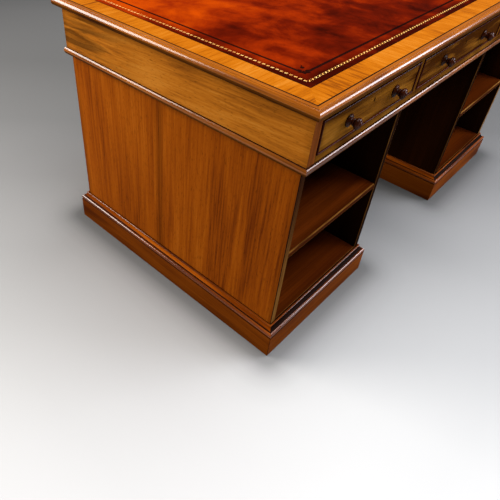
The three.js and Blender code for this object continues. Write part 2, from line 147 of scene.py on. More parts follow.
# Each pattern is (length, width) of its marks in mm, then detail, distortion and weight in the tone.
# Pores are 0.2 mm wide in the wood and are drawn coarser, or they wouldn't show.
looks = {
    # Pedestal boards: straight-grained mahogany, French polished. Warm red-brown with a soft wet shine.
    "carcase": {
        "name": "mahogany_french_polished",
        "stops": [(0.3, "#5c2606"), (0.46, "#7e3b07"), (0.58, "#8b4509"), (0.74, "#9b5312")],
        "figure": (700, 40, 2.0, 0.3, 0.4), "streak": (420, 6.0, 4.0, 0.1, 0.55),
        "cloud": (600, 200, 1.0, 0.4, 0.35), "pore": (16, 2.2), "poreDepth": 0.4, "poreColour": "#1c0802",
        "grime": 0.4, "roughness": (0.3, 0.44), "specular": 0.004, "coat": (0.0, 0.14),
    },
    # Inside faces: the same wood, unfaded and with its polish gone, and painted much darker as well: painted
    # shade inside the pedestals.
    "inside": {
        "name": "mahogany_unfaded",
        "stops": [(0.3, "#250d03"), (0.46, "#3b1503"), (0.58, "#451b03"), (0.74, "#562406")],
        "figure": (700, 60, 2.0, 0.3, 0.55), "streak": (380, 3.4, 4.0, 0.1, 0.4),
        "cloud": (500, 200, 1.0, 0.4, 0.6), "pore": (18, 1.0), "poreColour": "#0a0201", "grime": 0.4,
        "roughness": (0.36, 0.5),
    },
    # Front arrises and edges, rubbed back to lighter wood by hands and books.
    "edge": {
        "name": "mahogany_edge_rubbed",
        "stops": [(0.3, "#3d2108"), (0.46, "#613d16"), (0.58, "#6d491f"), (0.74, "#7c582d")],
        "figure": (200, 20, 2.0, 0.3, 0.6), "streak": (160, 3.4, 3.0, 0.1, 0.5),
        "cloud": (240, 90, 1.0, 0.4, 0.8), "pore": (16, 1.4), "poreColour": "#2a1206",
    },
    # Frieze: figured mahogany bleached by light to gold, with dark flame marks.
    "frieze": {
        "name": "mahogany_figured_french_polished",
        "stops": [(0.26, "#562a0a"), (0.38, "#884d12"), (0.52, "#a25f17"), (0.74, "#b47326")],
        "figure": (340, 30, 2.5, 0.8, 0.5), "streak": (240, 4.5, 4.0, 0.2, 0.5),
        "cloud": (460, 120, 1.0, 0.6, 0.5), "pore": (16, 2.0), "poreDepth": 0.4, "poreColour": "#280e02",
        "grime": 0.35, "roughness": (0.28, 0.4), "specular": 0.006, "coat": (0.0, 0.12),
    },
    # Drawer fronts and rails: mahogany veneer gone olive brown.
    "drawerFace": {
        "name": "mahogany_veneer_french_polished",
        "stops": [(0.26, "#371a03"), (0.42, "#613a0d"), (0.56, "#724711"), (0.76, "#88591d")],
        "figure": (180, 30, 2.5, 0.9, 0.8), "streak": (200, 4.5, 4.0, 0.2, 0.5),
        "cloud": (240, 90, 1.0, 0.6, 0.8), "pore": (14, 1.8), "poreColour": "#231004", "grime": 0.5,
        "roughness": (0.28, 0.4), "specular": 0.001, "coat": (0.0, 0.12),
    },
    # Front edges of the frieze ends: upright strips of the same wood, brown from hands and knees, and painted
    # darker than the sides: painted shade.
    "stile": {
        "name": "mahogany_edge_polished_handled",
        "stops": [(0.28, "#47240a"), (0.46, "#653312"), (0.58, "#743d16"), (0.76, "#8c4e1d")],
        "figure": (120, 14, 2.0, 0.5, 0.6), "streak": (100, 3.4, 3.0, 0.2, 0.5),
        "cloud": (160, 60, 1.0, 0.4, 0.6), "pore": (12, 1.0), "poreColour": "#1d0903", "coat": (0.0, 0.14),
    },
    # Plinths: darker solid mahogany, grain lengthways.
    "plinth": {
        "name": "mahogany_stained_french_polished",
        "stops": [(0.28, "#3f1805"), (0.46, "#5e2a05"), (0.58, "#6a3206"), (0.76, "#7e3e0c")],
        "figure": (420, 30, 2.0, 0.5, 0.6), "streak": (300, 3.4, 4.0, 0.1, 0.4),
        "cloud": (380, 120, 1.0, 0.5, 0.7), "pore": (14, 1.0), "poreColour": "#120402",
        "roughness": (0.28, 0.4), "specular": 0.004, "coat": (0.0, 0.12),
    },
    # Plinth moulding: the same, run with a plane and polished brighter.
    "plinthMoulding": {
        "name": "mahogany_stained_moulded_polished",
        "stops": [(0.28, "#401702"), (0.46, "#652c02"), (0.58, "#723403"), (0.76, "#864105")],
        "figure": (420, 12, 2.0, 0.3, 0.6), "streak": (300, 2.8, 4.0, 0.1, 0.4),
        "cloud": (380, 120, 1.0, 0.5, 0.7), "pore": (14, 1.0), "poreColour": "#120402",
        "roughness": (0.22, 0.34), "specular": 0.1, "coat": (0.7, 0.11),
    },
    # Mouldings: solid mahogany run with a plane and polished brightest of all.
    "moulding": {
        "name": "mahogany_moulded_french_polished",
        "stops": [(0.28, "#482003"), (0.45, "#743c04"), (0.58, "#834607"), (0.76, "#8e5210")],
        "figure": (360, 12, 2.0, 0.3, 0.6), "streak": (240, 2.6, 4.0, 0.1, 0.4),
        "cloud": (300, 100, 1.0, 0.5, 0.7), "pore": (14, 1.0), "poreColour": "#280e02",
        "roughness": (0.24, 0.34), "specular": 0.02, "coat": (0.6, 0.18),
    },
    # Crossbanding: short-grained veneer laid across the edge, the lightest wood on the desk.
    "crossband": {
        "name": "mahogany_crossband_veneer",
        "stops": [(0.28, "#653003"), (0.42, "#874703"), (0.56, "#904f06"), (0.74, "#9a5c17")],
        "figure": (80, 16, 3.0, 0.4, 0.6), "streak": (60, 3.8, 3.0, 0.2, 0.6),
        "cloud": (160, 90, 1.0, 0.4, 0.5), "pore": (9, 0.9), "poreDepth": 0.25, "poreColour": "#4c2203",
        "grime": 0.25, "roughness": (0.24, 0.36), "specular": 0.02, "coat": (0.0, 0.1), "sections": 165,
    },
    # Knobs: dense dark mahogany, turned and polished on the lathe.
    "dark": {
        "name": "mahogany_dark_polished",
        "stops": [(0.28, "#130602"), (0.46, "#260d04"), (0.58, "#321206"), (0.76, "#461e0a")],
        "figure": (90, 14, 2.0, 0.5, 0.6), "streak": (80, 2.2, 3.0, 0.2, 0.4),
        "cloud": (120, 60, 1.0, 0.4, 0.5), "pore": (9, 0.9), "poreDepth": 0.25, "poreColour": "#0a0201",
        "roughness": (0.24, 0.36), "specular": 0.01, "coat": (0.14, 0.05),
    },
    # Stringing: a line of black-stained boxwood.
    "string": {
        "name": "boxwood_string_stained",
        "stops": [(0.3, "#0e0704"), (0.5, "#170c06"), (0.62, "#1f1109"), (0.8, "#2b1a10")],
        "figure": (80, 6, 2.0, 0.3, 0.6), "streak": (60, 1.6, 2.0, 0.2, 0.6),
        "cloud": (120, 60, 1.0, 0.3, 0.7), "pore": (9, 0.9), "poreDepth": 0.2, "poreColour": "#060302",
        "roughness": (0.3, 0.4), "specular": 0.01, "coat": (0.0, 0.1),
    },
    # Drawer linings and dustboard: planed oak left bare, dry and dull.
    "oak": {
        "name": "oak_planed_bare",
        "stops": [(0.28, "#4d351a"), (0.45, "#654a28"), (0.58, "#70552f"), (0.76, "#7e633c")],
        "figure": (420, 22, 2.0, 0.4, 0.6), "streak": (260, 2.6, 3.0, 0.2, 0.6),
        "cloud": (380, 150, 1.0, 0.4, 0.6), "pore": (16, 1.2), "poreDepth": 0.55, "poreColour": "#34220e",
        "grime": 0.45, "roughness": (0.6, 0.78), "specular": 0.3, "coat": (0.0, 0.3),
    },
}

# Looks that are another look with a few things changed: the look they start from, and the changes.
variants = {
    # Kneehole sides and the insides of the pedestals' sides: painted shade, darkest of all.
    "shaded": ("inside", {
        "name": "mahogany_unfaded_smoked",
        "stops": [(0.3, "#100501"), (0.46, "#190801"), (0.58, "#1f0b02"), (0.74, "#281002")],
        "poreColour": "#120502",
    }),
    # The hollow of a plinth moulding: scraped, more orange and without the shine.
    "plinthCove": ("plinthMoulding", {
        "name": "mahogany_stained_scraped",
        "stops": [(0.28, "#522003"), (0.46, "#7e3804"), (0.58, "#8f4407"), (0.76, "#a3540e")],
        "poreColour": "#1d0903", "roughness": (0.3, 0.42), "specular": 0.006, "coat": (0.0, 0.2),
    }),
    # Lower half of a moulding: the same wood, dull and painted darker brown, painted shade below the
    # highlight.
    "mouldingFoot": ("moulding", {
        "name": "mahogany_moulded_unpolished",
        "stops": [(0.28, "#291203"), (0.45, "#4a2705"), (0.58, "#542e07"), (0.76, "#5e380e")],
        "poreColour": "#2a1004", "roughness": (0.3, 0.42), "specular": 0.006, "coat": (0.0, 0.2),
    }),
    # Cock beads: the same dark wood run as a thin strip, its polish long gone flat.
    "cockBead": ("dark", {
        "name": "mahogany_dark_moulded_worn",
        "stops": [(0.28, "#1d0704"), (0.46, "#300c06"), (0.58, "#3a1107"), (0.76, "#4b1c0c")],
        "poreColour": "#120502", "roughness": (0.3, 0.42), "coat": (0.05, 0.12),
    }),
    # Old dark wax and dust in quirks and corners, quite dull; its near black also stands for their shade,
    # painted shade.
    "wax": ("string", {
        "name": "wax_dark_packed",
        "stops": [(0.3, "#0c0503"), (0.5, "#150905"), (0.62, "#1d0d07"), (0.8, "#2a140b")],
        "poreColour": "#0c0604", "roughness": (0.4, 0.6), "coat": (0.0, 0.2),
    }),
}
for variant, (parent, changes) in variants.items():
    looks[variant] = {**looks[parent], **changes}

dirtGain = 1.6  # makes up for the gaps between the patches of dirt
grimeReach = 26  # mm that handling dirt and old polish reach in from an edge
sectionShift = 0.07  # how much lighter or darker a section of crossbanding may be than the next
rippleSize = 55  # mm from crest to crest of the slight unevenness of a hand-planed, hand-polished face


# Tilt turns the grain, in degrees. Darker lowers the tone. Keyhole is the centre of one, ringed with dirt and
# painted shade.
# Under is the height where painted shade below a projecting edge is darkest, where it ends, and its strength.
# Flame is the place along Y where smoky figure begins, where it is strongest, and its strength.
def wood(look, grain, box=None, tilt=0.0, under=None, flame=None, darker=0.0, keyhole=None):
    look = {**commonLook, **looks[look]}
    material, tree, shader, coords = newMaterial(look["name"], shineOf(look))
    offset = [chance.uniform(-9, 9) for _ in range(3)]
    turn = [math.radians(angle + chance.gauss(0, 0.8) + tilt) for angle in grainTurns[grain]]

    patterns = {}
    for layer in ("figure", "streak", "cloud", "pore"):
        long, wide, detail, distortion, weight = (look[layer] + (1.0, 0.0, 1.0))[:5]
        size = (long * mm, wide * mm, wide * mm)
        placing = {"vector_type": "TEXTURE", "Location": offset, "Rotation": turn, "Scale": size}
        place = addNode(tree, "Mapping", placing, {"Vector": coords})
        marks = {"Scale": 1.0, "Detail": detail, "Distortion": distortion}
        patterns[layer] = addNode(tree, "TexNoise", marks, {"Vector": place})

    weights = {layer: look[layer][4] for layer in ("figure", "streak", "cloud")}
    tone = None
    start = 0.5 - darker - sum(weights.values()) / 2
    for layer, weight in weights.items():
        add = {"operation": "MULTIPLY_ADD", 1: weight, 2: start}
        links = {0: patterns[layer]}
        if tone:
            links[2] = tone
        tone = addNode(tree, "Math", add, links)
    if "sections" in look:  # the veneer is laid in short sections, each from another part of the sheet
        length = look["sections"] * mm
        step = addNode(tree, "VectorMath", {"operation": "SNAP", 1: (length, length, 9)}, {0: coords})
        draw = addNode(tree, "TexWhiteNoise", {}, {"Vector": step})
        shift = {"operation": "MULTIPLY_ADD", 1: 2 * sectionShift}
        tone = addNode(tree, "Math", shift, {0: draw.outputs["Value"], 2: tone})
        tone = addNode(tree, "Math", {"operation": "SUBTRACT", 1: sectionShift}, {0: tone})
    colour = addNode(tree, "ValToRGB", {"stops": look["stops"]}, {0: tone})

    poreCut = {"From Min": 0.60, "From Max": 0.72, "To Max": look["poreDepth"]}
    pores = addNode(tree, "MapRange", poreCut, {"Value": patterns["pore"]})
    tint = {"data_type": "RGBA", mixB: linear(look["poreColour"])}

    def stain(amount):
        return addNode(tree, "Mix", tint, {0: amount, mixA: colour}).outputs[mixOut]

    colour = stain(pores)
    if box and look["grime"]:
        edge = nearEdge(tree, coords, box, grimeReach * mm)
        patchy = addNode(tree, "Math", {"operation": "MULTIPLY"}, {0: edge, 1: patterns["cloud"]})
        depth = {"operation": "MULTIPLY", 1: look["grime"] * dirtGain, "use_clamp": True}
        dirtAndShade = addNode(tree, "Math", depth, {0: patchy})
        colour = stain(dirtAndShade)
    if flame:
        begins, strongest, strength = flame
        along = addNode(tree, "SeparateXYZ", {}, {0: coords}).outputs[1]
        grow = {"From Min": begins, "From Max": strongest, "To Max": strength, **smooth}
        amount = addNode(tree, "MapRange", grow, {"Value": along})
        dark = {"From Min": 0.42, "From Max": 0.6}
        wisps = addNode(tree, "MapRange", dark, {"Value": patterns["figure"]})
        smoke = addNode(tree, "Math", {"operation": "MULTIPLY"}, {0: amount, 1: wisps})
        colour = stain(smoke)
    if keyhole:
        full, ends, strength = drawerSizes["keyDirtAndShade"]
        fromHole = addNode(tree, "VectorMath", {"operation": "SUBTRACT", 1: keyhole}, {0: coords})
        shape = {"operation": "MULTIPLY", 1: (1, 0, drawerSizes["keyTall"])}
        upright = addNode(tree, "VectorMath", shape, {0: fromHole})
        distance = addNode(tree, "VectorMath", {"operation": "LENGTH"}, {0: upright}).outputs["Value"]
        fade = {"From Min": full * mm, "From Max": ends * mm, "To Min": strength, "To Max": 0.0}
        dirtAndShade = addNode(tree, "MapRange", fade, {"Value": distance})
        colour = stain(dirtAndShade)
    # painted shade: darkest at the first height, gone at the second
    if under:
        height = addNode(tree, "SeparateXYZ", {}, {0: coords}).outputs[2]
        foot, ends, strength = under
        fade = {"From Min": foot, "From Max": ends, "To Min": strength, "To Max": 0.0, **smooth}
        dirtAndShade = addNode(tree, "MapRange", fade, {"Value": height})
        colour = stain(dirtAndShade)

    low, high = look["roughness"]
    dulling = {"From Min": 0.3, "From Max": 0.7, "To Min": low, "To Max": high}
    rough = addNode(tree, "MapRange", dulling, {"Value": patterns["streak"]})

    wave = addNode(tree, "TexNoise", {"Scale": 1 / (rippleSize * mm), "Detail": 1.0}, {"Vector": coords})
    ripple = addNode(tree, "Bump", {"Strength": 0.35, "Distance": 0.6 * mm}, {"Height": wave})
    dent = {"Strength": 0.3, "Distance": 0.12 * mm, "invert": True}
    grainBump = addNode(tree, "Bump", dent, {"Height": pores, "Normal": ripple})
    link(tree, shader, {"Base Color": colour, "Roughness": rough, "Normal": grainBump})
    return material


# Glazed hide, dyed and polished: mottled from fox red to dark oxblood, with painted light: lighter towards
# the far side and a little darker at the drawers' side.
leatherLook = {
    "stops": [(0.30, "#260300"), (0.44, "#480a00"), (0.56, "#6a1900"), (0.74, "#8c2f00")],
    "blindStops": [(0.3, "#0d0202"), (0.5, "#1c0502"), (0.7, "#290a04")],
    "mottle": 120, "mottleWeight": 0.68, "brush": (150, 60), "brushTurn": 104, "brushWeight": 0.3,
    "pebble": 1.3, "crease": 34, "edgeReach": 44, "edgeDarkness": 0.16,
    "handled": (-0.06, 0.19),  # painted shade and light: change of tone at the drawers' side and at the far side
    "paintedLightAndShadeAt": (-0.18, 0.26),  # metres back where that change begins and ends
    "roughness": (0.3, 0.46), "specular": 0.006, "coat": (0.0, 0.16),
}


# Stops are the hide's shades, from where it is dark. EdgeDarkness lowers the tone at the edges of the box.
def leather(name, stops, box, edgeDarkness):
    material, tree, shader, coords = newMaterial(name, shineOf(leatherLook))
    clouds = {"Scale": 1 / (leatherLook["mottle"] * mm), "Detail": 6.0, "Roughness": 0.62, "Distortion": 0.35}
    mottle = addNode(tree, "TexNoise", clouds, {"Vector": coords})
    long, wide = leatherLook["brush"]
    turned = (0, 0, math.radians(leatherLook["brushTurn"]))
    laid = {"vector_type": "TEXTURE", "Rotation": turned, "Scale": (long * mm, wide * mm, 1.0)}
    across = addNode(tree, "Mapping", laid, {"Vector": coords})
    brushed = addNode(tree, "TexNoise", {"Scale": 1.0, "Detail": 4.0, "Distortion": 0.5}, {"Vector": across})
    mottled = {"operation": "MULTIPLY", 1: leatherLook["mottleWeight"]}
    tone = addNode(tree, "Math", mottled, {0: mottle})
    blend = {"operation": "MULTIPLY_ADD", 1: leatherLook["brushWeight"]}
    tone = addNode(tree, "Math", blend, {0: brushed, 2: tone})
    # Painted light: the hide is lighter towards the far side and a little darker at the drawers' side.
    along = addNode(tree, "SeparateXYZ", {}, {0: coords}).outputs[1]
    low, high = leatherLook["handled"]
    begins, ends = leatherLook["paintedLightAndShadeAt"]
    paintedRamp = {"From Min": begins, "From Max": ends, "To Min": low, "To Max": high, **smooth}
    paintedTone = addNode(tree, "MapRange", paintedRamp, {"Value": along})
    tone = addNode(tree, "Math", {"operation": "ADD"}, {0: tone, 1: paintedTone})
    edge = nearEdge(tree, coords, box, leatherLook["edgeReach"] * mm)
    sink = {"operation": "MULTIPLY_ADD", 1: -edgeDarkness}
    tone = addNode(tree, "Math", sink, {0: edge, 2: tone})
    colour = addNode(tree, "ValToRGB", {"stops": stops}, {0: tone})

    low, high = leatherLook["roughness"]
    dulling = {"From Min": 0.35, "From Max": 0.65, "To Min": low, "To Max": high}
    rough = addNode(tree, "MapRange", dulling, {"Value": brushed})
    creases = {"Scale": 1 / (leatherLook["crease"] * mm), "Detail": 2.0}
    crease = addNode(tree, "TexNoise", creases, {"Vector": coords})
    swell = addNode(tree, "Bump", {"Strength": 0.4, "Distance": 0.7 * mm}, {"Height": crease})
    cells = addNode(tree, "TexVoronoi", {"Scale": 1 / (leatherLook["pebble"] * mm)}, {"Vector": coords})
    grainBump = {"Strength": 0.25, "Distance": 0.15 * mm}
    pebble = addNode(tree, "Bump", grainBump, {"Height": cells.outputs["Distance"], "Normal": swell})
    link(tree, shader, {"Base Color": colour, "Roughness": rough, "Normal": pebble})
    return material


# Gold leaf stamped into the hide with a hot wheel, rubbed thin in places.
def goldLeaf():
    shine = {"Roughness": 0.42, "Specular IOR Level": 0.4}
    material, tree, shader, coords = newMaterial("gold_leaf_tooled", shine)
    rub = addNode(tree, "TexNoise", {"Scale": 1 / (9 * mm), "Detail": 3.0}, {"Vector": coords})
    stops = [(0.30, "#7e3a10"), (0.42, "#c8913a"), (0.56, "#e2b664"), (0.8, "#edcf8c")]
    colour = addNode(tree, "ValToRGB", {"stops": stops}, {0: rub})
    left = {"From Min": 0.36, "From Max": 0.5, "To Min": 0.0, "To Max": 0.3}
    metal = addNode(tree, "MapRange", left, {"Value": rub})
    link(tree, shader, {"Base Color": colour, "Metallic": metal})
    return material


# Cast and filed brass that has dulled in the drawer, brighter and duller in patches.
def agedBrass(name, stops, roughness):
    material, tree, shader, coords = newMaterial(name, {"Metallic": 1.0})
    spots = addNode(tree, "TexNoise", {"Scale": 1 / (7 * mm), "Detail": 4.0}, {"Vector": coords})
    colour = addNode(tree, "ValToRGB", {"stops": stops}, {0: spots})
    filing = {"vector_type": "TEXTURE", "Scale": (6 * mm, 1.0, 0.4 * mm)}
    lines = addNode(tree, "Mapping", filing, {"Vector": coords})
    file = addNode(tree, "TexNoise", {"Scale": 1.0, "Detail": 2.0}, {"Vector": lines})
    dulling = {"To Min": roughness - 0.1, "To Max": roughness + 0.12}
    rough = addNode(tree, "MapRange", dulling, {"Value": spots})
    scratch = addNode(tree, "Bump", {"Strength": 0.2, "Distance": 0.05 * mm}, {"Height": file})
    link(tree, shader, {"Base Color": colour, "Roughness": rough, "Normal": scratch})
    return material


# shapes

smoothAngle = math.radians(42)
boardArris, fineArris, cutArris = 0.7 * mm, 0.4 * mm, 0.3 * mm  # taken off the arrises
sharp = math.radians(60)  # edges that turn more than this have an arris
square = 0.999  # a face's normal along an axis when the face lies square to it
squarish = 0.99  # the same, or very nearly so
anywhere = 99  # mm, beyond any moulding's outline


def finishPiece(bm, name, body, materials, replaced=()):
    bmesh.ops.remove_doubles(bm, verts=bm.verts, dist=1e-6)
    bmesh.ops.recalc_face_normals(bm, faces=bm.faces)
    mesh = bpy.data.meshes.new(name)
    bm.to_mesh(mesh)
    bm.free()
    mesh.shade_smooth()
    mesh.set_sharp_from_angle(angle=smoothAngle)
    for material in materials:
        mesh.materials.append(material)
    piece = bpy.data.objects.new(name, mesh)
    scene.collection.objects.link(piece)
    weighted = piece.modifiers.new("flat faces stay flat", "WEIGHTED_NORMAL")
    weighted.keep_sharp = True
    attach(piece, body)
    if replaced:
        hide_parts(*replaced)
    return piece


def block(low, high):
    bm = bmesh.new()
    bmesh.ops.create_cube(bm, size=1.0)
    low, high = Vector(low), Vector(high)
    bmesh.ops.scale(bm, vec=high - low, verts=bm.verts)
    bmesh.ops.translate(bm, vec=(low + high) / 2, verts=bm.verts)
    return bm


def roundEdges(bm, radius, segments=3, which=lambda edge: True):
    edges = [e for e in bm.edges if which(e)]
    settings = {"affect": "EDGES", "offset_type": "OFFSET", "profile": 0.5, "material": -1,
                "clamp_overlap": True}
    bmesh.ops.bevel(bm, geom=edges, offset=radius, segments=segments, **settings)


def sharpEdge(edge):
    return edge.is_manifold and edge.calc_face_angle() > sharp


# A copy of a CAD node with clean faces and its arrises taken off, for boards that are cut into.
def easedCopy(node, arris):
    bm = bmesh.new()
    bm.from_mesh(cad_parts[node].data)
    bmesh.ops.remove_doubles(bm, verts=bm.verts, dist=0.02 * mm)
    bmesh.ops.dissolve_limit(bm, angle_limit=math.radians(1), verts=bm.verts, edges=bm.edges)
    roundEdges(bm, arris, 2, sharpEdge)
    return bm


# A plain board that stands for a node, or for the part of it in the box given. Cut ones keep the node's cuts.
def boardPiece(node, finish, look, grain, arris=boardArris, box=None, body="desk", cut=False):
    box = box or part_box(node)
    if cut:
        bm = easedCopy(node, arris)
    else:
        bm = block(*box)
        roundEdges(bm, arris)
    finishPiece(bm, f"{node}_{finish}", body, [wood(look, grain, box)], [node])


# Draws an outline of (out, up) points in mm in the YZ plane, with out towards -Y.
# A step is a point, or a dictionary for an arc: its centre, its turn in degrees from out to up, its rise as
# height over width, and its steps.
def drawOutline(steps, closed=True):
    bm = bmesh.new()
    out, up = steps[0]
    last = first = bm.verts.new((0, -out * mm, up * mm))
    for step in steps[1:]:
        if isinstance(step, dict):
            centre = Vector((0, -step["centre"][0] * mm, step["centre"][1] * mm))
            rise = step.get("rise", 1.0)
            before = set(bm.verts)
            last.co.z = centre.z + (last.co.z - centre.z) / rise
            turn = -math.radians(step["turn"])
            spun = bmesh.ops.spin(bm, geom=[last], cent=centre, axis=(1, 0, 0), angle=turn,
                                  steps=step.get("steps", 8))
            arc = [last] + [v for v in bm.verts if v not in before]
            bmesh.ops.scale(bm, vec=(1, 1, rise), space=Matrix.Translation(-centre), verts=arc)
            last = next(item for item in spun["geom_last"] if isinstance(item, bmesh.types.BMVert))
        else:
            grown = bmesh.ops.extrude_vert_indiv(bm, verts=[last])
            last = grown["verts"][0]
            last.co = (0, -step[0] * mm, step[1] * mm)
    if closed:
        bmesh.ops.contextual_create(bm, geom=[last, first])
        bmesh.ops.contextual_create(bm, geom=bm.edges[:])
    return bm


# Goes round a rectangle. Gives the number of quarter turns, their matrix, the side's length and the next's.
def quarterTurns(width, depth):
    for quarter in range(4):
        along, across = (width, depth) if quarter % 2 == 0 else (depth, width)
        yield quarter, Matrix.Rotation(math.radians(90 * quarter), 4, "Z"), along, across


# One length of moulding that faces -Y, centred on X, its ends mitred at 45 degrees.
def mouldedLength(steps, length, hairline=0.06 * mm):
    bm = drawOutline(steps)
    reach = max(-v.co.y for v in bm.verts) + 5 * mm
    bmesh.ops.translate(bm, vec=(-length / 2 - reach, 0, 0), verts=bm.verts)
    grown = bmesh.ops.extrude_face_region(bm, geom=bm.faces[:])
    far = [item for item in grown["geom"] if isinstance(item, bmesh.types.BMVert)]
    bmesh.ops.translate(bm, vec=(length + 2 * reach, 0, 0), verts=far)
    for end in (-1, 1):
        spot = (end * (length / 2 - hairline), 0, 0)
        everything = bm.verts[:] + bm.edges[:] + bm.faces[:]
        sawn = bmesh.ops.bisect_plane(bm, geom=everything, plane_co=spot, plane_no=(end, 1, 0),
                                      clear_outer=True)
        rim = [item for item in sawn["geom_cut"] if isinstance(item, bmesh.types.BMEdge)]
        bmesh.ops.contextual_create(bm, geom=rim)
    return bm


# Four mitred lengths round a rectangle that is centred on the placing matrix. The outline's out is measured
# from the rectangle. Names and grains go round by quarter turns, from the length that faces -Y.
# Accents list ranges in mm, as least and most out and least and most up, with the look of the faces there.
# Corner picks edges to ease, and the facets take the second look. FrontLooks swaps looks on the front length.
def mitredFrame(names, steps, width, depth, placing, look, grains, body, replaced, under=None,
                accents=(), corner=None, frontLooks=None):
    for name, (quarter, turn, along, across) in zip(names, quarterTurns(width, depth)):
        bm = mouldedLength(steps, along)
        if corner:
            roundEdges(bm, 1.0 * mm, 1, corner)
        looksUsed = [look]
        for least, most, foot, head, accent in accents:
            if accent not in looksUsed:
                looksUsed.append(accent)
            for face in bm.faces:
                middle = face.calc_center_median() / mm
                if least < -middle.y < most and foot < middle.z < head and abs(face.normal.x) < 0.1:
                    face.material_index = looksUsed.index(accent)
        for face in bm.faces:
            if corner and face.normal.y < -0.1 and abs(face.normal.x) > 0.1:
                face.material_index = 1
        bmesh.ops.translate(bm, vec=(0, -across / 2, 0), verts=bm.verts)
        bmesh.ops.transform(bm, matrix=placing @ turn, verts=bm.verts)
        grain = grains[quarter % 2]
        stoodFor = replaced[quarter % len(replaced)]
        if frontLooks and quarter == 0:
            looksUsed = [frontLooks.get(used, used) for used in looksUsed]
        materials = [wood(used, grain, under=under) for used in looksUsed]
        finishPiece(bm, name, body, materials, [stoodFor])


# As above, level, round a box seen from above.
def levelFrame(stem, steps, low, high, look, grains, node, under=None, accents=()):
    names = [f"{stem}_{side}" for side in sideNames]
    centre = Matrix.Translation(((low.x + high.x) / 2, (low.y + high.y) / 2, 0))
    size = high - low
    mitredFrame(names, steps, size.x, size.y, centre, look, grains, "desk", [node], under, accents)


# top

topSizes = {  # mm
    "thickness": 22, "edgeWidth": 18.5, "edgeFlat": 9.5, "quirk": 0.8, "noseDrop": 13, "noseHeight": 3,
    "undercut": 6, "veneer": 1.2, "band": 53, "string": 3.4, "arris": 0.35,
}


def makeTop():
    s = topSizes
    low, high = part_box("top_edge_moulding")
    level = high.z / mm
    under = level - s["thickness"]
    noseTop = level - s["noseDrop"]
    noseFoot = noseTop - s["noseHeight"]
    roundRise = (level - s["quirk"] - noseTop) / (s["edgeWidth"] - s["edgeFlat"])
    footWidth = s["edgeWidth"] - s["undercut"]
    edge = [
        (0, under), (footWidth, under),
        {"centre": (footWidth, noseFoot), "turn": 90, "rise": (noseFoot - under) / s["undercut"]},
        (s["edgeWidth"], noseTop),
        {"centre": (s["edgeFlat"], noseTop), "turn": 90, "rise": roundRise, "steps": 18},
        (s["edgeFlat"], level), (0, level),
    ]
    inside = Vector((s["edgeWidth"] * mm, s["edgeWidth"] * mm, 0))
    # Painted shade: the edge darkens towards its underside, and its lower part takes the shaded foot look.
    dirtAndShade = (under * mm, (noseTop + 2) * mm, 0.85)
    levelFrame("top_edge", edge, low + inside, high - inside, "moulding", "xy",
               "top_edge_moulding", dirtAndShade, [(0, anywhere, under - 1, noseTop + 0.6, "mouldingFoot")])

    boardPiece("top_board", "planed", "carcase", "x")

    low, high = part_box("top_crossbanding")
    foot = level - s["veneer"]
    outer = -s["string"] - 0.05
    inner = -s["band"]
    eased = s["arris"]
    string = [(-s["string"], foot), (0, foot), (0, level), (-s["string"], level)]
    levelFrame("top_string", string, low, high, "string", "xy", "top_crossbanding")
    band = [(inner, foot), (outer, foot), (outer, level), (inner + eased, level), (inner, level - eased)]
    levelFrame("top_crossband", band, low, high, "crossband", "yx", "top_crossbanding")


leatherSizes = {  # mm in from the leather's edge
    "edgeDip": 2.6, "edgeDepth": 0.45, "halfway": 0.3, "giltAt": 21, "giltWidth": 8.4, "pressed": 0.25,
    "blindAt": 45, "blindLine": 2.2, "blindGap": 1.4, "blindDepth": 0.5,
    "pitch": 12.0, "leaf": (8.8, 3.2), "slant": 38, "dot": (1.76, 1.1), "dotAt": (3.6, -2.4),
    "foil": 0.12, "fleuronIn": 8,
    # forward to the middle, sideways, length, width and turn of each mark
    "fleuron": [(-2, 0, 18, 7, 0), (8, 7, 13, 5, 50), (8, -7, 13, 5, -50), (22, 0, 12, 11, 0),
                (31, 0, 7, 4, 0), (-3, 9, 12, 5, 75), (-3, -9, 12, 5, -75)],
}


def makeLeather():
    s = leatherSizes
    low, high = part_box("leather_lining")
    bm = block(low, high)
    top = max(bm.faces, key=lambda face: face.calc_center_median().z)
    darkBands = []

    # presses a band into the hide with shelving sides, and keeps its faces if it is to be dark
    def step(inward, down, dark=False):
        ring = bmesh.ops.inset_region(bm, faces=[top], thickness=inward * mm, depth=-down * mm,
                                      use_even_offset=True)
        if dark:
            darkBands.extend(ring["faces"])

    # The pared edge takes the dark tooled colour too: a dark line along the crossbanding.
    step(s["edgeDip"] * 0.4, 0, True)
    step(s["edgeDip"] * 0.6, 0, True)
    step(s["giltAt"] - s["giltWidth"] / 2 - s["edgeDip"], 0)
    step(0.5, s["pressed"])
    step(s["giltWidth"], 0)
    step(0.5, -s["pressed"])
    step(s["blindAt"] - s["giltAt"] - s["giltWidth"] / 2 - 1.0, 0)
    for _ in range(2):
        step(s["blindLine"] / 2, s["blindDepth"], True)
        step(s["blindLine"] / 2, -s["blindDepth"], True)
        step(s["blindGap"], 0, True)
    for face in darkBands:
        face.material_index = 1
    centre = (low + high) / 2
    half = (high - low) / 2
    for vert in bm.verts:  # the hide is pared down at its edge
        away = vert.co - centre
        out = max(abs(away.x) - half.x, abs(away.y) - half.y)
        if away.z > 0 and out > -s["edgeDip"] * mm / 2:
            vert.co.z -= s["edgeDepth"] * mm * (1.0 if out > -0.1 * mm else s["halfway"])
    hide = leather("hide_glazed", leatherLook["stops"], (low, high), leatherLook["edgeDarkness"])
    dark = leather("hide_blind_tooled", leatherLook["blindStops"], (low, high), 0.0)
    finishPiece(bm, "leather_hide", "desk", [hide, dark], ["leather_lining"])
    makeTooling(low, high, dark)


